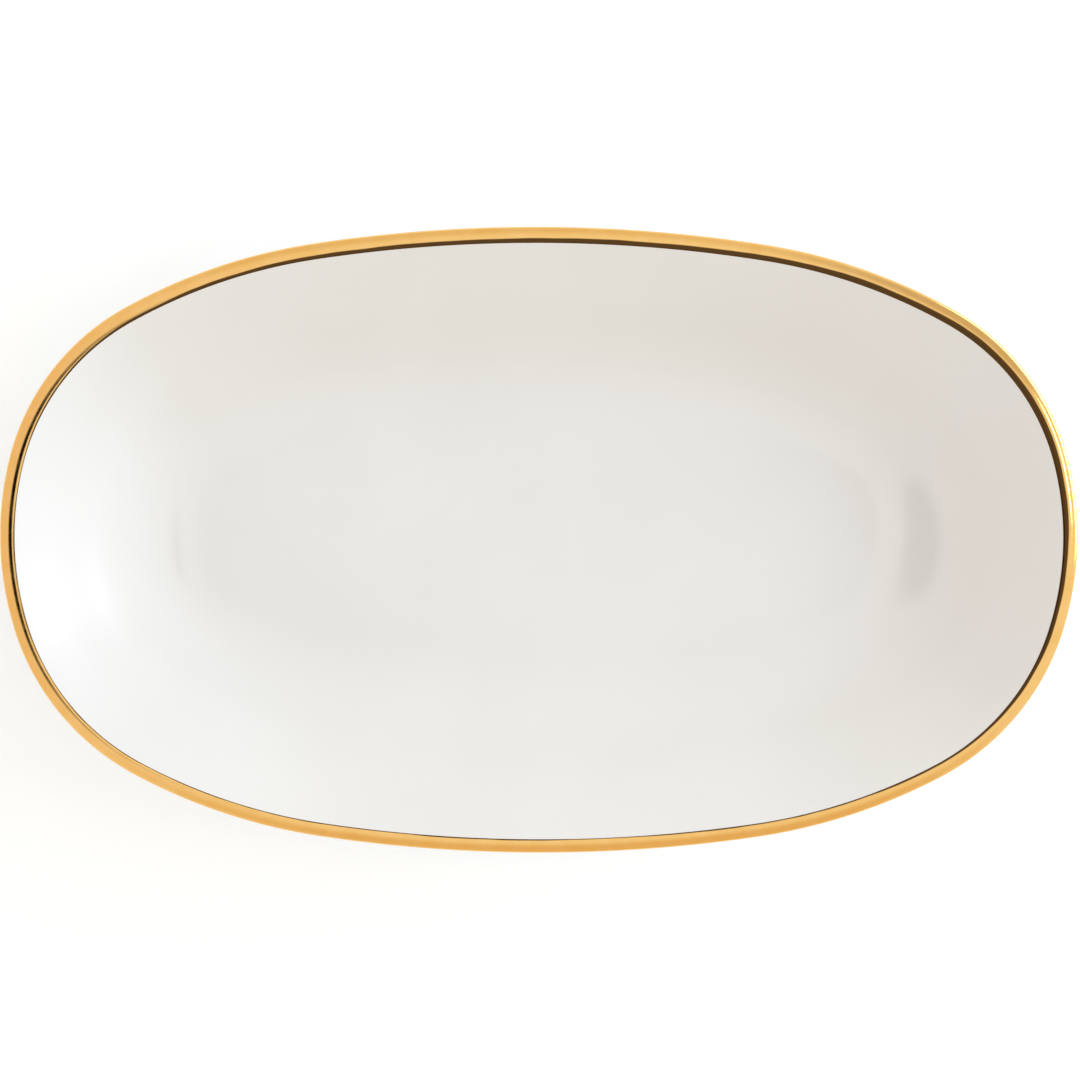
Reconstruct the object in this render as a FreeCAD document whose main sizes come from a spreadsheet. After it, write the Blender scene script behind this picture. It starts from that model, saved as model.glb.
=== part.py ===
"""China serving platter: an oval coupe platter in glazed porcelain with a gold lip.

The ware is built up as a potter builds it: a fired porcelain body with its own foot ring, the
glaze coats that are sprayed on its face, on its back and inside its foot ring, and the gold band
that is painted over the glaze along the lip.

Frame: millimetres, +X along the platter, +Y across it, +Z up.  The origin is in the middle of the
resting plane, under the foot ring.

Every layer is swept along one quarter of an oval, closed over the middle by a flat plate, and
mirrored twice.  The rim's oval is made of four tangent arcs to the quarter and the foot ring's of
two, so each inset of an oval is exactly parallel to it.
"""
import FreeCAD
import Part
import os
import Sketcher

VOLUME_TOLERANCE = 0.001

# name of the cell, its value in millimetres or degrees, what it drives
DIMENSIONS = [
    ("half_length", 178.0, "half of the overall length, to the gold"),
    ("half_width", 105.0, "half of the overall width, to the gold"),
    ("end_radius", 108.0, "oval: radius across each end"),
    ("shoulder_radius", 81.3, "oval: radius round each shoulder"),
    ("flank_radius", 186.0, "oval: radius between shoulder and side"),
    ("end_turn", 15.7, "oval: where the end arc stops, degrees from the long axis"),
    ("shoulder_turn", 61.1, "oval: where the shoulder arc stops, degrees from the long axis"),
    ("floor_inset", 64.0, "from the lip's edge to where the flat floor begins"),
    ("cove_radius", 66.0, "hollow curve between floor and wall"),
    ("wall_slope", 32.0, "slope of the wall, degrees from the floor"),
    ("crest_radius", 2.0, "lip: from the wall up to the crest"),
    ("roll_radius", 7.1, "lip: outward roll from the crest"),
    ("roll_turn", 30.0, "lip: how far the roll turns down, degrees"),
    ("edge_radius", 1.1, "lip: round outer edge"),
    ("foot_height", 3.1, "from the resting plane to the underside of the floor"),
    ("foot_half_length", 112.0, "half of the foot ring's length, to the root of its fillet"),
    ("foot_half_width", 38.0, "half of the foot ring's width, to the root of its fillet"),
    ("foot_end_radius", 28.0, "foot ring's oval: radius round each end"),
    ("foot_span", 9.0, "across the foot ring's root, both fillets included"),
    ("foot_fillet", 1.6, "fillet at the foot ring's root"),
    ("foot_corner", 0.8, "rounding beside the bare contact face"),
    ("foot_taper", 8.0, "slope of the foot ring's flanks, degrees from upright"),
    ("glaze", 0.3, "thickness of each glaze coat"),
    ("gold", 0.12, "thickness of the gold band"),
    ("gold_inner_turn", 26.0, "gold: how far it passes over the crest towards the well, degrees"),
    ("gold_outer_turn", 118.0, "gold: where it stops under the outer edge, degrees from upright"),
]

doc = FreeCAD.newDocument("serving_platter")
sheet = doc.addObject("Spreadsheet::Sheet", "dims")
for row, (alias, value, note) in enumerate(DIMENSIONS, start=1):
    sheet.set(f"A{row}", alias)
    sheet.set(f"B{row}", str(value))
    sheet.set(f"C{row}", note)
    sheet.setAlias(f"B{row}", alias)
doc.recompute()


def cell(alias):
    return f"<<dims>>.{alias}"


def number(formula):
    """The value of a formula of the sheet's cells."""
    value = sheet.evalExpression(formula)
    return float(getattr(value, "Value", value))


# ---------------------------------------------------------------------------- the ovals
# An oval is a quarter of an outline, from the X axis to the Y axis, as stations and arc radii.
# Each station is a corner between two arcs: its x and y and the outward normal there, as formulas.
A, B = cell("half_length"), cell("half_width")
R_END, R_SHOULDER, R_FLANK = cell("end_radius"), cell("shoulder_radius"), cell("flank_radius")
T_END, T_SHOULDER = cell("end_turn"), cell("shoulder_turn")

# the centres of the shoulder and flank arcs, and the side arc that closes the quarter on the Y axis
SHOULDER_X = f"({A} - {R_END} + ({R_END} - {R_SHOULDER}) * cos({T_END}))"
SHOULDER_Y = f"(({R_END} - {R_SHOULDER}) * sin({T_END}))"
FLANK_X = f"({SHOULDER_X} + ({R_SHOULDER} - {R_FLANK}) * cos({T_SHOULDER}))"
FLANK_Y = f"({SHOULDER_Y} + ({R_SHOULDER} - {R_FLANK}) * sin({T_SHOULDER}))"
DROP = f"({FLANK_Y} - {B})"
R_SIDE = f"((({R_FLANK})^2 - ({FLANK_X})^2 - ({DROP})^2) / (2 * ({DROP} + {R_FLANK})))"
T_FLANK = f"atan2({FLANK_Y} - {B} + {R_SIDE}; {FLANK_X})"

FOOT_A, FOOT_B, R_FOOT_END = (cell(f"foot_{word}") for word in ("half_length", "half_width", "end_radius"))
FOOT_RUN = f"({FOOT_A} - {R_FOOT_END})"
R_FOOT_SIDE = f"(({FOOT_RUN}^2 + {FOOT_B}^2 - {R_FOOT_END}^2) / (2 * ({FOOT_B} - {R_FOOT_END})))"
T_FOOT = f"atan2({R_FOOT_SIDE} - {FOOT_B}; {FOOT_RUN})"


def on_arc(centre_x, centre_y, radius, turn):
    """The station on an arc at a turn from the X axis."""
    normal = (f"cos({turn})", f"sin({turn})")
    return (f"({centre_x} + {radius} * {normal[0]})", f"({centre_y} + {radius} * {normal[1]})", *normal)


RIM_OVAL = (
    [
        (A, "0", "1", "0"),
        on_arc(SHOULDER_X, SHOULDER_Y, R_SHOULDER, T_END),
        on_arc(FLANK_X, FLANK_Y, R_FLANK, T_SHOULDER),
        on_arc(FLANK_X, FLANK_Y, R_FLANK, T_FLANK),
        ("0", B, "0", "1"),
    ],
    [R_END, R_SHOULDER, R_FLANK, R_SIDE],
)
FOOT_OVAL = (
    [(FOOT_A, "0", "1", "0"), on_arc(FOOT_RUN, "0", R_FOOT_END, T_FOOT), ("0", FOOT_B, "0", "1")],
    [R_FOOT_END, R_FOOT_SIDE],
)


def beneath(station, depth):
    """The corner that lies a depth inside a station, against its normal."""
    x, y, normal_x, normal_y = station
    return tuple(
        place if normal == "0" else f"({place} - ({depth}) * ({normal}))"
        for place, normal in ((x, normal_x), (y, normal_y))
    )


# ---------------------------------------------------------------------------- the section
# The section lies in the XZ plane where the oval crosses the X axis.  Its stations are corners of
# the finished surface, each with its outward normal; a layer lies some depth beneath that surface.
SLOPE, ROLL, TAPER = cell("wall_slope"), cell("roll_turn"), cell("foot_taper")
R_COVE, R_CREST, R_ROLL = cell("cove_radius"), cell("crest_radius"), cell("roll_radius")
R_EDGE, R_FILLET, R_CORNER = cell("edge_radius"), cell("foot_fillet"), cell("foot_corner")
GLAZE, GOLD = cell("glaze"), cell("gold")
UNDERSIDE = cell("foot_height")

WALL = (
    f"({R_CREST} * (1 - cos({SLOPE})) + {R_ROLL} * (cos({SLOPE}) - cos({SLOPE} + {ROLL}))"
    f" + {R_EDGE} * (1 + cos({SLOPE} + {ROLL})))"
)
FLOOR = f"({UNDERSIDE} + {WALL})"

X_COVE = f"({A} - {cell('floor_inset')})"
X_EDGE = f"({A} - {GOLD} - {R_EDGE})"
X_ROLL = f"({X_EDGE} + {R_EDGE} * sin({ROLL}))"
X_CREST = f"({X_ROLL} - {R_ROLL} * sin({ROLL}))"
X_WALL_TOP = f"({X_CREST} - {R_CREST} * sin({SLOPE}))"
X_WALL_FOOT = f"({X_COVE} + {R_COVE} * sin({SLOPE}))"
X_FOOT = f"({FOOT_A} - {cell('foot_span')} / 2)"

Z_WALL_FOOT = f"({FLOOR} + {R_COVE} * (1 - cos({SLOPE})))"
Z_WALL_TOP = f"({Z_WALL_FOOT} + ({X_WALL_TOP} - {X_WALL_FOOT}) * tan({SLOPE}))"
Z_CREST = f"({Z_WALL_TOP} + {R_CREST} * (1 - cos({SLOPE})))"
Z_ROLL = f"({Z_CREST} - {R_ROLL} * (1 - cos({ROLL})))"
Z_EDGE = f"({Z_ROLL} - {R_EDGE} * cos({ROLL}))"

FLANK_TOP_X = f"({FOOT_A} - {R_FILLET} * cos({TAPER}))"
FLANK_TOP_Z = f"({UNDERSIDE} - {R_FILLET} * (1 - sin({TAPER})))"
FLANK_FOOT_Z = f"({R_CORNER} * (1 - sin({TAPER})) - {GLAZE} * sin({TAPER}))"
FLANK_FOOT_X = f"({FLANK_TOP_X} - ({FLANK_TOP_Z} - {FLANK_FOOT_Z}) * tan({TAPER}))"
CONTACT_X = f"({FLANK_FOOT_X} - ({GLAZE} + {R_CORNER}) * cos({TAPER}))"

UP, DOWN = ("0", "1"), ("0", "-1")
INWARD_UP = (f"(-sin({SLOPE}))", f"cos({SLOPE})")
OUTWARD_DOWN = (f"sin({SLOPE})", f"(-cos({SLOPE}))")
OUTWARD_UP = (f"sin({ROLL})", f"cos({ROLL})")
FLANK_OUT = (f"cos({TAPER})", f"(-sin({TAPER}))")

COVE_START = (X_COVE, FLOOR, *UP)
WALL_FOOT = (X_WALL_FOOT, Z_WALL_FOOT, *INWARD_UP)
WALL_TOP = (X_WALL_TOP, Z_WALL_TOP, *INWARD_UP)
CREST = (X_CREST, Z_CREST, *UP)
ROLL_END = (X_ROLL, Z_ROLL, *OUTWARD_UP)
UNDER_EDGE = (
    f"({X_EDGE} + {R_EDGE} * sin({SLOPE}))",
    f"({Z_EDGE} - {R_EDGE} * cos({SLOPE}))",
    *OUTWARD_DOWN,
)
BACK_WALL_FOOT = (
    f"({X_COVE} + ({R_COVE} + {WALL}) * sin({SLOPE}))",
    f"({FLOOR} + {R_COVE} - ({R_COVE} + {WALL}) * cos({SLOPE}))",
    *OUTWARD_DOWN,
)
BACK_COVE_START = (X_COVE, UNDERSIDE, *DOWN)
FOOT_ROOT = (FOOT_A, UNDERSIDE, *DOWN)
FLANK_TOP = (FLANK_TOP_X, FLANK_TOP_Z, *FLANK_OUT)
FLANK_FOOT = (FLANK_FOOT_X, FLANK_FOOT_Z, *FLANK_OUT)
CONTACT = (CONTACT_X, "0", "0", "0")


def across_foot(station):
    """The same station on the foot ring's inner side."""
    x, z, normal_x, normal_z = station
    return (f"(2 * {X_FOOT} - {x})", z, f"(-({normal_x}))", normal_z)


# ---------------------------------------------------------------------------- sketches
def origin_plane(body, role):
    return next(item for item in body.Origin.OriginFeatures if item.Role == role)


def new_sketch(body, name, role):
    sketch = body.newObject("Sketcher::SketchObject", name)
    sketch.AttachmentSupport = [(origin_plane(body, role), "")]
    sketch.MapMode = "FlatFace"
    return sketch


def arc_between(start, end, radius, turn):
    """The shorter arc of a radius from start to end; turn is 1 to the left and -1 to the right."""
    chord = end - start
    height = (radius**2 - (chord.Length / 2) ** 2) ** 0.5
    to_left = FreeCAD.Vector(-chord.y, chord.x, 0).normalize()
    centre = (start + end) / 2 + to_left * height * turn
    first, last = (start, end) if turn > 0 else (end, start)
    circle = Part.Circle(centre, FreeCAD.Vector(0, 0, 1), radius)
    return Part.ArcOfCircle(circle, circle.parameter(first), circle.parameter(last))


def trace(sketch, corners, edges, closed=True):
    """Draw lines and arcs from corner to corner, with each corner and radius bound to the sheet.

    A corner is a pair of formulas.  An edge is None for a line, or (radius, turn) for an arc.
    """
    points = [FreeCAD.Vector(number(x), number(y), 0) for x, y in corners]
    bound = []
    ends = []
    for index, edge in enumerate(edges):
        start, end = points[index], points[(index + 1) % len(points)]
        if edge is None:
            geometry = sketch.addGeometry(Part.LineSegment(start, end), False)
            ends.append((geometry, 1, 2))
            continue
        radius, turn = edge
        geometry = sketch.addGeometry(arc_between(start, end, number(radius), turn), False)
        ends.append((geometry, 1, 2) if turn > 0 else (geometry, 2, 1))
        bound.append((Sketcher.Constraint("Radius", geometry, number(radius)), f"radius_{index}", radius))
    free = []
    joints = zip(ends, ends[1:] + ends[:1] if closed else ends[1:])
    for (before, _, finish), (after, begin, _) in joints:
        free.append(Sketcher.Constraint("Coincident", before, finish, after, begin))
    for index, corner in enumerate(corners):
        geometry, begin, finish = ends[min(index, len(ends) - 1)]
        vertex = begin if index < len(ends) else finish
        place_corner(free, bound, (geometry, vertex), index, corner)
    sketch.addConstraint(free)
    for index, (_, name, formula) in zip(sketch.addConstraint([item[0] for item in bound]), bound):
        sketch.renameConstraint(index, name)
        sketch.setExpression(f"Constraints.{name}", formula)


def place_corner(free, bound, vertex, index, corner):
    """Hold a corner at its formulas' distances from the sketch's axes, or on an axis itself."""
    horizontal_axis, vertical_axis, origin = -1, -2, (-1, 1)
    sides = ((vertical_axis, "DistanceX", "x"), (horizontal_axis, "DistanceY", "y"))
    for formula, (axis, kind, letter) in zip(corner, sides):
        if formula == "0":
            free.append(Sketcher.Constraint("PointOnObject", *vertex, axis))
            continue
        measure = Sketcher.Constraint(kind, *origin, *vertex, number(formula))
        bound.append((measure, f"corner_{index}_{letter}", formula))


# ---------------------------------------------------------------------------- building a layer
def swept_quarter(body, name, oval, section_shape):
    """Sweep a closed section along an oval's quarter."""
    stations, radii = oval
    section = new_sketch(body, f"{name}_section", "XZ_Plane")
    trace(section, *section_shape)
    path = new_sketch(body, f"{name}_path", "XY_Plane")
    trace(path, [station[:2] for station in stations], [(radius, 1) for radius in radii], closed=False)
    doc.recompute()
    sweep = body.newObject("PartDesign::AdditivePipe", f"{name}_sweep")
    sweep.Profile = section
    sweep.Spine = (path, [f"Edge{count}" for count in range(1, len(radii) + 1)])
    sweep.Mode = "Standard"


def quarter_plate(body, name, oval, inset, bottom, thickness, hole=None):
    """A flat quarter plate inside an inset of an oval, up to the axes or up to an oval hole."""
    outline = new_sketch(body, f"{name}_outline", "XY_Plane")
    outline.setExpression("AttachmentOffset.Base.z", bottom)
    stations, radii = oval
    corners = [beneath(station, inset) for station in stations]
    edges = [(f"({radius} - {inset})", 1) for radius in radii] + [None]
    if hole:
        corners += [station[:2] for station in reversed(hole[0])]
        edges += [(radius, -1) for radius in reversed(hole[1])]
    else:
        corners.append(("0", "0"))
    trace(outline, corners, [*edges, None])
    plate = body.newObject("PartDesign::Pad", f"{name}_pad")
    plate.Profile = outline
    plate.setExpression("Length", thickness)


def mirror_twice(body, name):
    """Mirror the quarter across the long axis, then the half across the short one."""
    for role, side in (("XZ_Plane", "half"), ("YZ_Plane", "whole")):
        doc.recompute()
        mirrored = body.newObject("PartDesign::Mirrored", f"{name}_{side}")
        mirrored.TransformMode = "Whole shape"
        mirrored.MirrorPlane = (origin_plane(body, role), [""])
        body.Tip = mirrored
    return body


def new_body(label):
    body = doc.addObject("PartDesign::Body", label)
    body.Label = label
    body.Placement = FreeCAD.Placement()
    return body


# ---------------------------------------------------------------------------- the layers
TO_LEFT, TO_RIGHT = 1, -1

# the edges that join the stations, in order from the floor over the lip and down to the foot ring
FACE = [COVE_START, WALL_FOOT, WALL_TOP, CREST, ROLL_END]
FACE_EDGES = [(R_COVE, TO_LEFT), None, (R_CREST, TO_RIGHT), (R_ROLL, TO_RIGHT)]
BACK = [ROLL_END, UNDER_EDGE, BACK_WALL_FOOT, BACK_COVE_START]
BACK_EDGES = [(R_EDGE, TO_RIGHT), None, (f"({R_COVE} + {WALL})", TO_RIGHT)]
FOOT_OUTSIDE = [FOOT_ROOT, FLANK_TOP, FLANK_FOOT]
FOOT_OUTSIDE_EDGES = [(R_FILLET, TO_LEFT), None]
FOOT_INSIDE = [across_foot(station) for station in reversed(FOOT_OUTSIDE)]
FOOT_INSIDE_EDGES = [None, (R_FILLET, TO_LEFT)]


def on_lip(centre_x, centre_z, radius, turn):
    """The station on an arc of the lip at a turn from upright towards the outside."""
    return on_arc(centre_x, centre_z, radius, f"(90 - {turn})")


GOLD_INNER = on_lip(X_CREST, f"({Z_CREST} - {R_CREST})", R_CREST, f"(-{cell('gold_inner_turn')})")
GOLD_OUTER = on_lip(X_EDGE, Z_EDGE, R_EDGE, cell("gold_outer_turn"))
BAND = [GOLD_INNER, CREST, ROLL_END, GOLD_OUTER]
BAND_EDGES = [(R_CREST, TO_RIGHT), (R_ROLL, TO_RIGHT), (R_EDGE, TO_RIGHT)]


def at_depth(edges, depth):
    """The same edges beneath the finished surface: hollow arcs widen and round ones tighten."""
    return [edge and (f"({edge[0]} + {edge[1]} * ({depth}))", edge[1]) for edge in edges]


def backwards(edges):
    return [edge and (edge[0], -edge[1]) for edge in reversed(edges)]


def coat(stations, edges, top, bottom):
    """The closed section of a coat that lies between two depths."""
    corners = [beneath(station, top) for station in stations]
    corners += [beneath(station, bottom) for station in reversed(stations)]
    return corners, [*at_depth(edges, top), None, *backwards(at_depth(edges, bottom)), None]


def porcelain_body():
    """The fired body: wall, floor and foot ring in one, bare where it stands."""
    body = new_body("porcelain_body")
    wall = [beneath(station, GLAZE) for station in FACE + BACK[1:]]
    wall_edges = at_depth(FACE_EDGES + BACK_EDGES, GLAZE)
    swept_quarter(body, "wall", RIM_OVAL, (wall, [*wall_edges, None]))
    bottom = f"{UNDERSIDE} + {GLAZE}"
    quarter_plate(body, "floor", RIM_OVAL, cell("floor_inset"), bottom, f"{WALL} - 2 * {GLAZE}")
    foot = [beneath(station, GLAZE) for station in FOOT_OUTSIDE]
    foot += [(CONTACT_X, "0"), (across_foot(CONTACT)[0], "0")]
    foot += [beneath(station, GLAZE) for station in FOOT_INSIDE]
    corner = (R_CORNER, TO_RIGHT)
    foot_edges = at_depth(FOOT_OUTSIDE_EDGES, GLAZE) + [corner, None, corner]
    foot_edges += at_depth(FOOT_INSIDE_EDGES, GLAZE)
    swept_quarter(body, "foot", FOOT_OVAL, (foot, [*foot_edges, None]))
    return mirror_twice(body, "body")


def face_glaze():
    """The coat over the floor and the wall, which ends on the lip under the gold."""
    body = new_body("face_glaze")
    swept_quarter(body, "face", RIM_OVAL, coat(FACE, FACE_EDGES, "0", GLAZE))
    quarter_plate(body, "face_floor", RIM_OVAL, cell("floor_inset"), f"{FLOOR} - {GLAZE}", GLAZE)
    return mirror_twice(body, "face")


def back_glaze():
    """The coat under the wall, from the lip's edge to the foot ring and down its outer flank."""
    body = new_body("back_glaze")
    swept_quarter(body, "back", RIM_OVAL, coat(BACK, BACK_EDGES, "0", GLAZE))
    inset = cell("floor_inset")
    quarter_plate(body, "back_margin", RIM_OVAL, inset, UNDERSIDE, GLAZE, hole=FOOT_OVAL)
    flank = coat(FOOT_OUTSIDE, FOOT_OUTSIDE_EDGES, "0", GLAZE)
    swept_quarter(body, "back_flank", FOOT_OVAL, flank)
    return mirror_twice(body, "back")


def foot_well_glaze():
    """The coat inside the foot ring, cut off from the back's by the bare contact face."""
    body = new_body("foot_well_glaze")
    flank = coat(FOOT_INSIDE, FOOT_INSIDE_EDGES, "0", GLAZE)
    swept_quarter(body, "foot_well", FOOT_OVAL, flank)
    quarter_plate(body, "foot_well_floor", FOOT_OVAL, cell("foot_span"), UNDERSIDE, GLAZE)
    return mirror_twice(body, "foot_well")


def gold_rim_band():
    """The gold painted over the glaze, from just inside the crest to under the outer edge."""
    body = new_body("gold_rim_band")
    swept_quarter(body, "gold", RIM_OVAL, coat(BAND, BAND_EDGES, f"(-{GOLD})", "0"))
    return mirror_twice(body, "gold")


# ---------------------------------------------------------------------------- build and write
def check_sweep(name):
    """Compare a swept quarter's volume with its section's area times its middle's path.

    The path is measured parallel to the oval, through the section's centre of area.
    """
    section = Part.Face(doc.getObject(f"{name}_section").Shape)
    path = doc.getObject(f"{name}_path").Shape
    inset = path.BoundBox.XMax - section.CenterOfMass.x
    length = sum(edge.Length * (1 - inset / edge.Curve.Radius) for edge in path.Edges)
    expected = section.Area * length
    sweep = doc.getObject(f"{name}_sweep")
    volume = sweep.AddSubShape.Volume
    if abs(volume - expected) > VOLUME_TOLERANCE * expected:
        raise ValueError(f"{name}: swept volume {volume:.1f}, expected {expected:.1f}")


layers = [porcelain_body(), face_glaze(), back_glaze(), foot_well_glaze(), gold_rim_band()]
doc.recompute()

for item in doc.Objects:
    if {"Invalid", "Error"} & set(item.State):
        raise ValueError(f"{item.Name} failed: {item.State}")
for name in ("wall", "foot", "face", "back", "back_flank", "foot_well", "gold"):
    check_sweep(name)

os.makedirs("parts", exist_ok=True)
for layer in layers:
    shape = layer.Shape
    if shape.isNull() or not shape.isValid() or len(shape.Solids) != 1:
        raise ValueError(f"{layer.Label} is not one sound solid")
    shape.exportStep(f"parts/{layer.Label}.step")
    box = shape.optimalBoundingBox(True)
    print(f"{layer.Label}: {shape.Volume:.0f} mm3, {box.XLength:.2f} x {box.YLength:.2f} x {box.ZLength:.2f}")
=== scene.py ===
"""Looks of the china serving platter: glazed porcelain with a gold lip, on a pale studio floor.

Every layer of the ware is a closed mesh built here on the ovals and the section that the CAD model
has, with the slow warp and the faint waves that firing leaves in real porcelain.  Metres, in the
CAD's frame.
"""
import math

import bpy
import numpy as np
from mathutils import Euler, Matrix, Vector


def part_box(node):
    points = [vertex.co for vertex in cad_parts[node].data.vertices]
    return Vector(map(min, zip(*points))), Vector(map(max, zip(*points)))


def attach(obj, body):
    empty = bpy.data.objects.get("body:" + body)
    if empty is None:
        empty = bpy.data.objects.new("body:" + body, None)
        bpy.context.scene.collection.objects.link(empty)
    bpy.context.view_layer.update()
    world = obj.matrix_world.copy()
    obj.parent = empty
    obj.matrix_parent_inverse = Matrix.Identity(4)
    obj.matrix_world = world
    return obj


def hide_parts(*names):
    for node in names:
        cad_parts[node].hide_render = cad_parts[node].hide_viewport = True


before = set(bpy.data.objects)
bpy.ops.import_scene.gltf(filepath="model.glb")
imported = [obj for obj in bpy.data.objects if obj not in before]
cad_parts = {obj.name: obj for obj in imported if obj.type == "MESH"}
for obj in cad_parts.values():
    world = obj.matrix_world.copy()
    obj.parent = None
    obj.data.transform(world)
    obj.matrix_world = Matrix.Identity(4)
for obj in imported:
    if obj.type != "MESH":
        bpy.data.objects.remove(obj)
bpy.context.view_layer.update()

MM = 0.001

# ---------------------------------------------------------------------------- driving dimensions
# The rim's oval: its half sizes over the gold, its arcs' radii, and where the first two arcs stop.
lip_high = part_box("gold_rim_band")[1]
HALF_LENGTH, HALF_WIDTH = lip_high.x, lip_high.y
END_RADIUS, SHOULDER_RADIUS, FLANK_RADIUS = 108 * MM, 81.3 * MM, 186 * MM
END_TURN, SHOULDER_TURN = math.radians(15.7), math.radians(61.1)

# The section, from the well's floor up the wall and over the lip.
FLOOR_INSET, COVE_RADIUS, SLOPE = 64 * MM, 66 * MM, math.radians(32)
CREST_RADIUS, ROLL_RADIUS, ROLL, EDGE_RADIUS = 2 * MM, 7.1 * MM, math.radians(30), 1.1 * MM

# The foot ring: half sizes of its oval and radius round its ends, then its section.
FOOT_LENGTH, FOOT_WIDTH, FOOT_END_RADIUS = 112 * MM, 38 * MM, 28 * MM
FOOT_HEIGHT, FOOT_SPAN, FOOT_FILLET, FOOT_CORNER = 3.1 * MM, 9 * MM, 1.6 * MM, 0.8 * MM
FOOT_TAPER = math.radians(8)

# The coats: how thick they are, and where the gold begins and ends on the lip, from upright.
GLAZE, GOLD = 0.3 * MM, 0.12 * MM
GOLD_INNER, GOLD_OUTER = math.radians(-26), math.radians(118)
GOLD_OVERLAP = 0.02 * MM  # how far its underside reaches into the glaze
GOLD_THINNING = [0.15, 0.7, 0.9, 0.98]  # share of its thickness at the stations nearest each edge
# Painted dark reflection on the gold: its brown inner edge widens towards one side of the platter.
PAINTED_REFLECTION_MOST, PAINTED_REFLECTION_TURN = 1.9 * MM, math.radians(40)  # how far the painted dark reflection reaches in, and where it is widest
ROUNDED_STATIONS, ROUNDED_REACH = 4, 0.96  # a coat's end: how many stations it takes, how far round

# What the kiln does: the wall sags half way up, and warps more the higher it is.  Ripples run all
# over, but for the contact face.
WALL_SAG = 0.2 * MM
WARP, WARP_LENGTH, WARP_SEED = 0.22 * MM, 260 * MM, 0.9
WARP_FROM, WARP_SPAN = 4 * MM, 24 * MM
RIPPLE, RIPPLE_LENGTH, RIPPLE_SEED = 0.012 * MM, 34 * MM, 2.3
RIPPLE_FROM, RIPPLE_SPAN = 1.2 * MM, 3 * MM

# How finely the meshes are divided: the longest and widest step round an oval, and steps across
# each part of the section.  A layer's hidden side takes a share of those steps.
LONGEST_STEP, WIDEST_STEP = 2.4 * MM, math.radians(1.0)
COVE_STEPS, WALL_STEPS, CREST_STEPS, ROLL_STEPS, EDGE_STEPS, BACK_COVE_STEPS = 22, 16, 8, 8, 12, 16
HIDDEN = 0.5
CLOSING_KEEP = 0.72  # the length of the line that a flat oval closes onto, as a share of the oval's


# ---------------------------------------------------------------------------- ovals
class Oval:
    """Tangent arcs over a quarter, each (where it stops, centre x, centre y, radius)."""

    def __init__(self, arcs):
        self.stops, self.x, self.y, self.radius = (np.array(column) for column in zip(*arcs))

    def points(self, turns, inset):
        """Points on the inset of the oval where its outward normal has these turns."""
        c, s = np.cos(turns), np.sin(turns)
        quarter = np.arctan2(np.abs(s), np.abs(c))
        arc = np.minimum(np.searchsorted(self.stops, quarter), len(self.stops) - 1)
        reach = self.radius[arc] - inset
        x = self.x[arc] + reach * np.cos(quarter)
        y = self.y[arc] + reach * np.sin(quarter)
        return np.stack([np.sign(np.round(c, 9)) * x, np.sign(np.round(s, 9)) * y], axis=1)


def rim_oval():
    shoulder_x = HALF_LENGTH - END_RADIUS + (END_RADIUS - SHOULDER_RADIUS) * math.cos(END_TURN)
    shoulder_y = (END_RADIUS - SHOULDER_RADIUS) * math.sin(END_TURN)
    flank_x = shoulder_x + (SHOULDER_RADIUS - FLANK_RADIUS) * math.cos(SHOULDER_TURN)
    flank_y = shoulder_y + (SHOULDER_RADIUS - FLANK_RADIUS) * math.sin(SHOULDER_TURN)
    drop = flank_y - HALF_WIDTH
    side = (FLANK_RADIUS**2 - flank_x**2 - drop**2) / (2 * (drop + FLANK_RADIUS))
    flank_turn = math.atan2(drop + side, flank_x)
    return Oval([
        (END_TURN, HALF_LENGTH - END_RADIUS, 0.0, END_RADIUS),
        (SHOULDER_TURN, shoulder_x, shoulder_y, SHOULDER_RADIUS),
        (flank_turn, flank_x, flank_y, FLANK_RADIUS),
        (math.pi / 2, 0.0, HALF_WIDTH - side, side),
    ])


def foot_oval():
    end_x = FOOT_LENGTH - FOOT_END_RADIUS
    side = (end_x**2 + FOOT_WIDTH**2 - FOOT_END_RADIUS**2) / (2 * (FOOT_WIDTH - FOOT_END_RADIUS))
    return Oval([
        (math.atan2(side - FOOT_WIDTH, end_x), end_x, 0.0, FOOT_END_RADIUS),
        (math.pi / 2, 0.0, FOOT_WIDTH - side, side),
    ])


RIM, FOOT = rim_oval(), foot_oval()


def sample_turns():
    """Turns all round, closer together where an arc is wide; each half mirrors the other."""
    marks = sorted({0.0, *RIM.stops, *FOOT.stops})
    quarter = [0.0]
    for start, stop in zip(marks, marks[1:]):
        middle = (start + stop) / 2
        radius = max(oval.radius[np.searchsorted(oval.stops, middle)] for oval in (RIM, FOOT))
        count = math.ceil((stop - start) / min(WIDEST_STEP, LONGEST_STEP / radius))
        quarter += list(np.linspace(start, stop, count + 1)[1:])
    quarter = np.array(quarter)
    half = np.concatenate([quarter, math.pi - quarter[-2::-1]])
    return np.concatenate([half, 2 * math.pi - half[-2:0:-1]])


TURNS = sample_turns()
COUNT = len(TURNS)


# ---------------------------------------------------------------------------- the section
# A station is (inset from the oval, height, normal's lean outwards from upright).
WALL = (
    CREST_RADIUS * (1 - math.cos(SLOPE))
    + ROLL_RADIUS * (math.cos(SLOPE) - math.cos(SLOPE + ROLL))
    + EDGE_RADIUS * (1 + math.cos(SLOPE + ROLL))
)
FLOOR = FOOT_HEIGHT + WALL
EDGE_INSET = GOLD + EDGE_RADIUS
CREST_INSET = EDGE_INSET - EDGE_RADIUS * math.sin(ROLL) + ROLL_RADIUS * math.sin(ROLL)
WALL_TOP_INSET = CREST_INSET + CREST_RADIUS * math.sin(SLOPE)
WALL_FOOT_INSET = FLOOR_INSET - COVE_RADIUS * math.sin(SLOPE)
WALL_FOOT_HEIGHT = FLOOR + COVE_RADIUS * (1 - math.cos(SLOPE))
WALL_TOP_HEIGHT = WALL_FOOT_HEIGHT + (WALL_FOOT_INSET - WALL_TOP_INSET) * math.tan(SLOPE)
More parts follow.
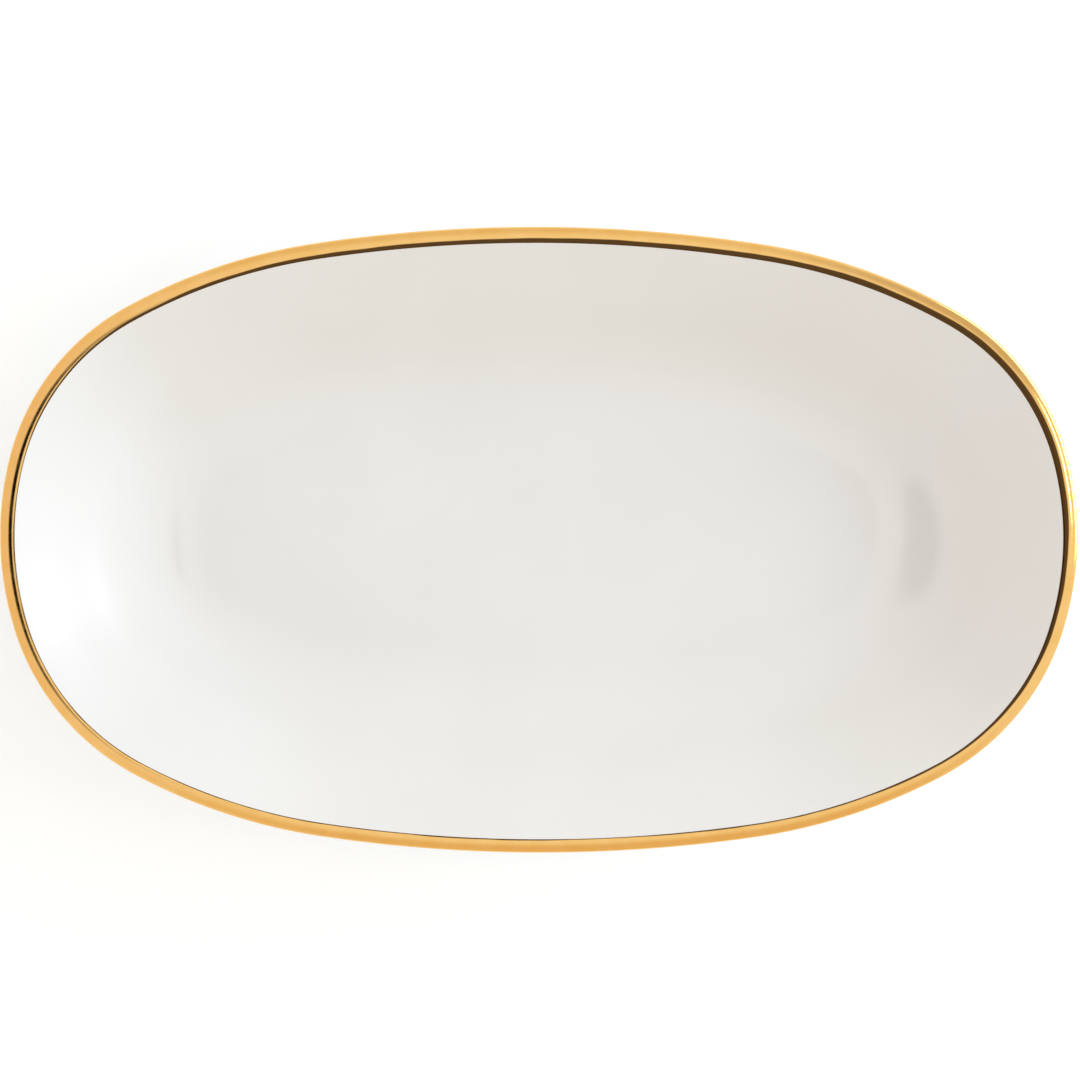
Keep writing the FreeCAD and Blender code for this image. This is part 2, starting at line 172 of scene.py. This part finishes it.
CREST_HEIGHT = WALL_TOP_HEIGHT + CREST_RADIUS * (1 - math.cos(SLOPE))
ROLL_HEIGHT = CREST_HEIGHT - ROLL_RADIUS * (1 - math.cos(ROLL))
EDGE_HEIGHT = ROLL_HEIGHT - EDGE_RADIUS * math.cos(ROLL)
UNDER = math.pi - SLOPE


def bend(inset, height, radius, start, stop, count):
    """Stations round a centre; a hollow bend has a negative radius."""
    leans = np.linspace(start, stop, count + 1)
    return [(inset - radius * math.sin(a), height + radius * math.cos(a), a) for a in leans]


def run(first, last, count):
    """Stations on a straight between two others, without its ends."""
    shares = np.linspace(0, 1, count + 1)[1:-1]
    return [tuple(np.array(first) * (1 - t) + np.array(last) * t) for t in shares]


def slumped(first, last, count):
    """Stations along the wall, without its ends, which the firing leaves a little low half way."""
    stations = run(first, last, count)
    shares = np.linspace(0, 1, count + 1)[1:-1]
    sag = WALL_SAG * (1 - np.cos(2 * math.pi * shares)) / 2
    return [
        (inset - drop * math.sin(SLOPE), height - drop * math.cos(SLOPE), lean)
        for (inset, height, lean), drop in zip(stations, sag)
    ]


def crest_bend(start, count):
    """Stations up to the crest, on the arc between wall and crest."""
    return bend(CREST_INSET, CREST_HEIGHT - CREST_RADIUS, CREST_RADIUS, start, 0, count)


def roll_bend(count):
    """Stations from the crest down the outward roll."""
    return bend(CREST_INSET, CREST_HEIGHT - ROLL_RADIUS, ROLL_RADIUS, 0, ROLL, count)


def edge_bend(stop, count):
    """Stations from the roll's end round the outer edge."""
    return bend(EDGE_INSET, EDGE_HEIGHT, EDGE_RADIUS, ROLL, stop, count)


def face_stations(share=1.0):
    """From the floor's edge up the wall and over the crest to the roll's end."""
    steps = round(COVE_STEPS * share)
    cove = bend(FLOOR_INSET, FLOOR + COVE_RADIUS, -COVE_RADIUS, 0, -SLOPE, steps)
    crest = crest_bend(-SLOPE, round(CREST_STEPS * share))
    roll = roll_bend(round(ROLL_STEPS * share))
    return cove + slumped(cove[-1], crest[0], round(WALL_STEPS * share)) + crest + roll[1:]


def back_stations(share=1.0):
    """From the roll's end round the edge and down the back of the wall to the flat underside."""
    edge = edge_bend(UNDER, round(EDGE_STEPS * share))
    steps = round(BACK_COVE_STEPS * share)
    cove = bend(FLOOR_INSET, FLOOR + COVE_RADIUS, COVE_RADIUS + WALL, UNDER, math.pi, steps)
    return edge + slumped(edge[-1], cove[0], round(WALL_STEPS * share)) + cove


def foot_stations():
    """The outer side of the foot ring, from its root to where its glaze stops, on its own oval."""
    flank = math.pi / 2 + FOOT_TAPER
    root = bend(0, FOOT_HEIGHT - FOOT_FILLET, -FOOT_FILLET, math.pi, flank, 6)
    top = root[-1]
    low = FOOT_CORNER * (1 - math.sin(FOOT_TAPER)) - GLAZE * math.sin(FOOT_TAPER)
    end = (top[0] + (top[1] - low) * math.tan(FOOT_TAPER), low, flank)
    return root + run(top, end, 4) + [end]


def across(stations):
    """The same stations on the foot ring's inner side, from the glaze's end back to the root."""
    return [(FOOT_SPAN - inset, height, -lean) for inset, height, lean in reversed(stations)]


def sink(stations, depth):
    """The stations beneath the surface; depth is one number or one for each station."""
    depths = np.broadcast_to(depth, len(stations))
    return [
        (inset + d * math.sin(lean), height - d * math.cos(lean), lean)
        for (inset, height, lean), d in zip(stations, depths)
    ]


# ---------------------------------------------------------------------------- meshes
def waves(x, y, length, seed):
    """Smooth bumps of about one wavelength, between about -1 and 1, the same at every run.

    They are seven sine waves, each a golden angle round from the last and a little longer.
    """
    total = np.zeros_like(x)
    for step in range(7):
        angle = seed + 2.39996 * step
        size = length * (0.75 + 0.09 * step)
        phase = 1.7 * seed + 4.1 * step
        total += np.sin(2 * np.pi * (x * math.cos(angle) + y * math.sin(angle)) / size + phase)
    return total / 3.2


def fired(points):
    """What the kiln does to the shape: a slow warp of the wall and faint waves everywhere."""
    x, y, z = points.T
    lift = np.clip((z - WARP_FROM) / WARP_SPAN, 0, 1) ** 2
    warp = WARP * waves(x, y, WARP_LENGTH, WARP_SEED) * lift
    clear = np.clip((z - RIPPLE_FROM) / RIPPLE_SPAN, 0, 1)
    ripple = RIPPLE * waves(x, y, RIPPLE_LENGTH, RIPPLE_SEED) * clear
    return np.stack([x, y, z + warp + ripple], axis=1)


def rings_at(oval, stations):
    """One ring of points for each station."""
    return [
        np.column_stack([oval.points(TURNS, inset), np.full(COUNT, height)])
        for inset, height, _ in stations
    ]


def closing_rings(ring, count):
    """Rings that close a flat oval onto a line along its middle; the last is the line itself."""
    shares = np.linspace(0, 1, count + 1)[1:]
    return [ring * np.array([1 - (1 - CLOSING_KEEP) * t, 1 - t, 1]) for t in shares]


def mesh_object(name, rings, line_start=False, line_end=False, loop=False):
    """A closed mesh through rings of points; a line ring is a flattened one, with its sides joined."""
    corners, order, total = [], [], 0
    for place, ring in enumerate(rings):
        line = (line_start and place == 0) or (line_end and place == len(rings) - 1)
        index = np.arange(COUNT)
        if line:
            index = np.minimum(index, COUNT - index)
            ring = ring[: COUNT // 2 + 1] * np.array([1, 0, 1])
        corners.append(ring)
        order.append(index + total)
        total += len(ring)
    if loop:
        order.append(order[0])
    faces = []
    for low, high in zip(order, order[1:]):
        faces.append(np.stack([low, np.roll(low, -1), np.roll(high, -1), high], axis=1))
    faces = np.concatenate(faces)
    mesh = bpy.data.meshes.new(name)
    mesh.from_pydata(fired(np.concatenate(corners)).tolist(), [], faces[:, ::-1].tolist())
    mesh.validate()
    mesh.shade_smooth()
    piece = bpy.data.objects.new(name, mesh)
    bpy.context.scene.collection.objects.link(piece)
    return piece


def face_piece():
    """The glaze over floor and wall, over the lip's crest as far as the outward roll."""
    top = rings_at(RIM, face_stations())
    under = rings_at(RIM, sink(face_stations(HIDDEN), GLAZE))
    rings = closing_rings(top[0], 12)[::-1] + top + under[::-1] + closing_rings(under[0], 4)
    return mesh_object("glazed_face", rings, line_start=True, line_end=True)


def rounded_end(count):
    """Depths that let a coat of glaze run out in a round end over its last few stations."""
    share = np.linspace(0, 1, ROUNDED_STATIONS)
    depths = np.zeros(count)
    depths[-ROUNDED_STATIONS:] = GLAZE * (1 - np.sqrt(1 - (ROUNDED_REACH * share) ** 2))
    return depths


def margin(first, last):
    """The two rings between the underside's edge and the foot ring's root."""
    return [first * (1 - t) + last * t for t in (0.34, 0.67)]


def back_piece():
    """The glaze under the wall, across the flat margin and down the foot ring's outer side."""
    foot = foot_stations()
    outer = rings_at(RIM, back_stations())
    flank = rings_at(FOOT, sink(foot, rounded_end(len(foot))))
    inner = rings_at(RIM, sink(back_stations(HIDDEN), GLAZE))
    inner_flank = rings_at(FOOT, sink(foot, GLAZE))
    rings = outer + margin(outer[-1], flank[0]) + flank
    rings += (inner + margin(inner[-1], inner_flank[0]) + inner_flank)[::-1]
    return mesh_object("glazed_back", rings, loop=True)


def foot_well_piece():
    """The glaze inside the foot ring."""
    foot = foot_stations()
    flank = rings_at(FOOT, across(sink(foot, rounded_end(len(foot)))))
    inner_flank = rings_at(FOOT, across(sink(foot, GLAZE)))
    low, high = closing_rings(flank[-1], 9), closing_rings(inner_flank[-1], 9)
    rings = high[::-1] + inner_flank[::-1] + flank + low
    return mesh_object("glazed_foot_well", rings, line_start=True, line_end=True)


def body_piece():
    """The fired body, which shows only where the foot ring is bare."""
    foot = sink(foot_stations(), GLAZE)
    inset, height, lean = foot[-1]
    corner = bend(inset + FOOT_CORNER * math.sin(lean), FOOT_CORNER, FOOT_CORNER, lean, math.pi, 5)
    contact = run(corner[-1], (FOOT_SPAN - corner[-1][0], 0, math.pi), 6)
    outside = foot[:-1] + corner
    top = rings_at(RIM, sink(face_stations(HIDDEN), GLAZE))
    back = rings_at(RIM, sink(back_stations(HIDDEN)[1:], GLAZE))
    below = rings_at(FOOT, outside + contact + across(outside))
    rings = closing_rings(top[0], 4)[::-1] + top + back + below + closing_rings(below[-1], 4)
    return mesh_object("bare_body", rings, line_start=True, line_end=True)


def gold_piece():
    """The painted gold, which thins out at both edges.

    Each point carries "gold_past_dark_edge": how far it is across the band from the inner edge, less
    the width of the painted dark reflection there.  That painted reflection is widest on one side of
    the platter and none on the other.
    """
    stations = crest_bend(GOLD_INNER, 10) + roll_bend(12)[1:] + edge_bend(GOLD_OUTER, 14)[1:]
    thickness = np.full(len(stations), GOLD)
    thickness[: len(GOLD_THINNING)] *= GOLD_THINNING
    thickness[-len(GOLD_THINNING) :] *= GOLD_THINNING[::-1]
    outer = rings_at(RIM, sink(stations, -thickness))
    inner = rings_at(RIM, sink(stations, GOLD_OVERLAP))
    piece = mesh_object("gold_band", outer + inner[::-1], loop=True)
    across_band = np.concatenate([[0], np.cumsum([
        math.dist(first[:2], second[:2]) for first, second in zip(stations, stations[1:])
    ])])
    # Painted dark reflection: it widens the brown inner edge towards one side of the platter.
    painted_reflection_width = PAINTED_REFLECTION_MOST * ((1 + np.cos(TURNS - PAINTED_REFLECTION_TURN)) / 2) ** 2
    past_dark_edge = np.concatenate([across_band, across_band[::-1]])[:, None] - painted_reflection_width[None, :]
    attribute = piece.data.attributes.new("gold_past_dark_edge", "FLOAT", "POINT")
    attribute.data.foreach_set("value", past_dark_edge.ravel().astype(np.float32))
    return piece


# ---------------------------------------------------------------------------- materials
# Where a material has two colours, it drifts between them.
PORCELAIN = (0.785, 0.796, 0.80, 1), (0.805, 0.816, 0.822, 1)
SPECK = (0.42, 0.34, 0.26, 1)
SOUND_GOLD = (0.90, 0.54, 0.17, 1), (0.93, 0.58, 0.21, 1)
# Brown of the gold's inner edge: a thin dark edge all round, plus a painted dark reflection where it
# widens on one side.
DARK_EDGE_AND_PAINTED_REFLECTION = (0.10, 0.05, 0.016, 1)
BARE = (0.78, 0.75, 0.69, 1), (0.68, 0.64, 0.57, 1)
SHEET = (0.875, 0.89, 0.9, 1), (0.89, 0.905, 0.915, 1)
SHEET_GLOW, SHEET_GLOW_STRENGTH = (0.92, 0.97, 1.0, 1), 0.21


class Nodes:
    """A short way to write a node tree."""

    def __init__(self, tree):
        self.tree = tree
        tree.nodes.clear()

    def add(self, kind, inputs=None, **settings):
        node = self.tree.nodes.new(kind)
        for name, value in settings.items():
            setattr(node, name, value)
        for name, value in (inputs or {}).items():
            socket = node.inputs[name]
            if isinstance(value, bpy.types.NodeSocket):
                self.tree.links.new(value, socket)
            else:
                socket.default_value = value
        return node

    def noise(self, place, scale, detail=2.0, roughness=0.5, distortion=0.0):
        inputs = {"Vector": place, "Scale": scale, "Detail": detail}
        inputs.update({"Roughness": roughness, "Distortion": distortion})
        return self.add("ShaderNodeTexNoise", inputs).outputs["Fac"]

    def remap(self, value, low, high, to_low, to_high):
        inputs = {"Value": value, "From Min": low, "From Max": high}
        inputs.update({"To Min": to_low, "To Max": to_high})
        return self.add("ShaderNodeMapRange", inputs).outputs["Result"]

    def blend(self, share, first, second):
        inputs = {0: share, 6: first, 7: second}
        return self.add("ShaderNodeMix", inputs, data_type="RGBA").outputs[2]

    def math(self, operation, first, second=0.0):
        return self.add("ShaderNodeMath", {0: first, 1: second}, operation=operation).outputs[0]

    def bump(self, height, distance, normal=None):
        inputs = {"Height": height, "Distance": distance, "Strength": 1.0}
        if normal is not None:
            inputs["Normal"] = normal
        return self.add("ShaderNodeBump", inputs).outputs["Normal"]


def new_material(name):
    """A material, its nodes and the place on the object that its patterns follow."""
    material = bpy.data.materials.new(name)
    material.use_nodes = True
    n = Nodes(material.node_tree)
    return material, n, n.add("ShaderNodeTexCoord").outputs["Object"]


def glaze_material():
    """Clear gloss glaze over warm white porcelain, with rare faint specks and a slow unevenness."""
    material, n, place = new_material("glazed_porcelain")
    cloud = n.noise(place, 18, 3, 0.5, 0.4)
    tone = n.blend(n.remap(cloud, 0.35, 0.65, 0, 1), *PORCELAIN)
    cells = n.add("ShaderNodeTexVoronoi", {"Vector": place, "Scale": 95.0, "Randomness": 1.0})
    dot = n.remap(cells.outputs["Distance"], 0.016, 0.03, 1, 0)
    lot = n.add("ShaderNodeSeparateColor", {0: cells.outputs["Color"]}).outputs[0]
    rare = n.math("GREATER_THAN", lot, 0.9)
    faint = n.math("MULTIPLY", n.math("MULTIPLY", dot, rare), 0.35)
    tone = n.blend(faint, tone, SPECK)
    smooth = n.remap(n.noise(place, 60, 4), 0.3, 0.7, 0.16, 0.24)
    long_wave = n.bump(n.noise(place, 45, 1), 0.03 * MM)
    peel = n.bump(n.noise(place, 420, 2), 0.0005 * MM, long_wave)
    shader = n.add("ShaderNodeBsdfPrincipled", {
        "Base Color": tone, "Roughness": smooth, "IOR": 1.5, "Normal": long_wave,
        "Coat Weight": 1.0, "Coat Roughness": 0.06, "Coat IOR": 1.6, "Coat Normal": peel,
    })
    n.add("ShaderNodeOutputMaterial", {"Surface": shader.outputs[0]})
    return material


def gold_material():
    """Fired bright gold, burnished, with a fine grain; brown along its inner edge, as a thin dark edge
    all round and a painted dark reflection that widens it on one side.
    """
    material, n, place = new_material("fired_gold")
    cloud = n.noise(place, 120, 3, 0.6)
    tone = n.blend(n.remap(cloud, 0.35, 0.65, 0, 1), *SOUND_GOLD)
    past_dark_edge = n.add("ShaderNodeAttribute", attribute_name="gold_past_dark_edge").outputs["Fac"]
    waver = n.remap(n.noise(place, 55, 2), 0.3, 0.7, -0.12 * MM, 0.12 * MM)
    # Brown inner edge: a thin dark edge all round, widened on one side by a painted dark reflection.
    dark_edge_share = n.remap(n.math("ADD", past_dark_edge, waver), 0.15 * MM, 0.42 * MM, 1, 0)
    tone = n.blend(dark_edge_share, tone, DARK_EDGE_AND_PAINTED_REFLECTION)
    grain = n.noise(place, 1500, 3, 0.6)
    shade = n.remap(n.noise(place, 260, 3), 0.3, 0.7, 0.08, 0.15)
    relief = n.bump(grain, 0.006 * MM)
    shader = n.add("ShaderNodeBsdfPrincipled", {
        "Base Color": tone, "Roughness": shade, "Metallic": 1.0, "Normal": relief,
    })
    n.add("ShaderNodeOutputMaterial", {"Surface": shader.outputs[0]})
    return material


def bare_material():
    """Unglazed porcelain, matt and faintly gritty."""
    material, n, place = new_material("bare_porcelain")
    cloud = n.noise(place, 90, 5, 0.6)
    tone = n.blend(n.remap(cloud, 0.35, 0.7, 0, 1), *BARE)
    grit = n.noise(place, 2600, 4, 0.7)
    relief = n.bump(grit, 0.05 * MM)
    shade = n.remap(cloud, 0.3, 0.7, 0.62, 0.8)
    shader = n.add("ShaderNodeBsdfPrincipled", {
        "Base Color": tone, "Roughness": shade, "IOR": 1.5, "Normal": relief,
    })
    n.add("ShaderNodeOutputMaterial", {"Surface": shader.outputs[0]})
    return material


def sheet_material():
    """A pale matt sheet, lit a little from below, as a light table is."""
    material, n, place = new_material("pale_sheet")
    tone = n.blend(n.noise(place, 30, 3), *SHEET)
    shader = n.add("ShaderNodeBsdfPrincipled", {
        "Base Color": tone, "Roughness": 0.9, "IOR": 1.3,
        "Emission Color": SHEET_GLOW, "Emission Strength": SHEET_GLOW_STRENGTH,
    })
    n.add("ShaderNodeOutputMaterial", {"Surface": shader.outputs[0]})
    return material


# ---------------------------------------------------------------------------- the platter
glaze, gold, bare = glaze_material(), gold_material(), bare_material()
PIECES = [
    (face_piece(), "face_glaze", "clear_glaze", glaze),
    (back_piece(), "back_glaze", "clear_glaze", glaze),
    (foot_well_piece(), "foot_well_glaze", "clear_glaze", glaze),
    (body_piece(), "porcelain_body", "fired_porcelain", bare),
    (gold_piece(), "gold_rim_band", "fired_gold", gold),
]
for piece, node, slot, material in PIECES:
    piece.data.materials.append(material)
    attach(piece, "root")
    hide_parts(node)


# ---------------------------------------------------------------------------- the studio
def direction(azimuth, polar):
    """The way to a light: azimuth from +X towards +Y, polar from straight up, in degrees."""
    a, p = math.radians(azimuth), math.radians(polar)
    return Vector((math.sin(p) * math.cos(a), math.sin(p) * math.sin(a), math.cos(p)))


# The room is pale all round.  Each place in it that is darker has an azimuth and an angle from
# straight up, how far out from there it is full and where it ends, in degrees, and a colour.
ROOM_COLOUR = (1.0, 1.0, 0.99, 1)
ROOM = [
    (180, 62, 20, 70, (0.93, 0.83, 0.75)),
    (275, 58, 10, 42, (0.85, 0.71, 0.51)),
    (100, 55, 10, 35, (0.88, 0.80, 0.66)),
    (40, 46, 10, 30, (0.70, 0.66, 0.62)),
    (204, 21, 6, 14, (0.0, 0.0, 0.0)),
    (-46, 11.8, 0, 5, (0.05, 0.05, 0.05)),
]

# Near the horizon the room turns a little grey, fully at the lower of two angles above it.
HORIZON_COLOUR, HORIZON_LOW, HORIZON_HIGH = (0.88, 0.88, 0.875, 1), 2, 12

# Panels of light, each with its name, place, width, height, brightness and colour.
LAMPS = [
    ("key", 2.2 * direction(20, 75), 2.5, 0.94, 4.4, (0.85, 0.93, 1.0)),
    ("window", Vector((0.69, 0.05, 0.58)), 0.26, 0.055, 7.5, (1.0, 0.98, 0.97)),
]

SHEET_RADIUS, SHEET_CORNERS = 6.0, 48

# The camera looks down from slightly beyond the platter's far side, and aims near its middle.
VIEW_TILT, VIEW_ROLL, VIEW_DISTANCE, SENSOR = math.radians(10), math.radians(0.17), 0.92, 36.0
VIEW_AIM = Vector((-0.1 * MM, 2.3 * MM, CREST_HEIGHT))


def add_floor():
    turns = np.linspace(0, 2 * math.pi, SHEET_CORNERS + 1)[:-1]
    edge = [(SHEET_RADIUS * math.cos(a), SHEET_RADIUS * math.sin(a), 0) for a in turns]
    mesh = bpy.data.meshes.new("floor")
    mesh.from_pydata(edge, [], [list(range(len(edge)))])
    mesh.materials.append(sheet_material())
    floor = bpy.data.objects.new("floor", mesh)
    bpy.context.scene.collection.objects.link(floor)


def softbox(name, place, width, height, glow, colour):
    """A panel of light that faces the platter from its place; sizes in metres."""
    light = bpy.data.lights.new(name, "AREA")
    light.shape = "RECTANGLE"
    light.size, light.size_y = width, height
    light.energy = glow * math.pi * width * height
    light.color = colour
    lamp = bpy.data.objects.new(name, light)
    lamp.location = place
    lamp.rotation_euler = place.to_track_quat("Z", "Y").to_euler()
    lamp.visible_camera = False
    bpy.context.scene.collection.objects.link(lamp)


def sky():
    """Soft light from all round, with darker places as a real room has."""
    world = bpy.data.worlds.new("studio")
    world.use_nodes = True
    bpy.context.scene.world = world
    n = Nodes(world.node_tree)
    way = n.add("ShaderNodeTexCoord").outputs["Generated"]
    colour = ROOM_COLOUR
    for azimuth, polar, inside, outside, tint in ROOM:
        inputs = {0: way, 1: tuple(direction(azimuth, polar))}
        near = n.add("ShaderNodeVectorMath", inputs, operation="DOT_PRODUCT").outputs["Value"]
        angle = n.math("ARCCOSINE", near)
        share = n.add("ShaderNodeMapRange", {
            "Value": angle, "From Min": math.radians(outside), "From Max": math.radians(inside),
        }, interpolation_type="SMOOTHSTEP").outputs["Result"]
        colour = n.blend(share, colour, (*tint, 1))
    height = n.add("ShaderNodeSeparateXYZ", {0: way}).outputs["Z"]
    low, high = math.sin(math.radians(HORIZON_LOW)), math.sin(math.radians(HORIZON_HIGH))
    colour = n.blend(n.remap(height, low, high, 1, 0), colour, HORIZON_COLOUR)
    light = n.add("ShaderNodeBackground", {"Color": colour, "Strength": 1.0})
    n.add("ShaderNodeOutputWorld", {"Surface": light.outputs[0]})


def add_camera():
    data = bpy.data.cameras.new("camera")
    data.sensor_width = SENSOR
    data.lens = SENSOR * VIEW_DISTANCE / (2 * HALF_LENGTH)
    data.clip_start = 0.01
    camera = bpy.data.objects.new("camera", data)
    tilted = Vector((0, math.sin(VIEW_TILT), math.cos(VIEW_TILT)))
    camera.location = VIEW_AIM + VIEW_DISTANCE * tilted
    camera.rotation_euler = Euler((-VIEW_TILT, 0, VIEW_ROLL), "XYZ")
    bpy.context.scene.collection.objects.link(camera)
    bpy.context.scene.camera = camera


add_floor()
sky()
for lamp_settings in LAMPS:
    softbox(*lamp_settings)
add_camera()
view = bpy.context.scene.view_settings
view.view_transform = "Standard"
view.look = "None"
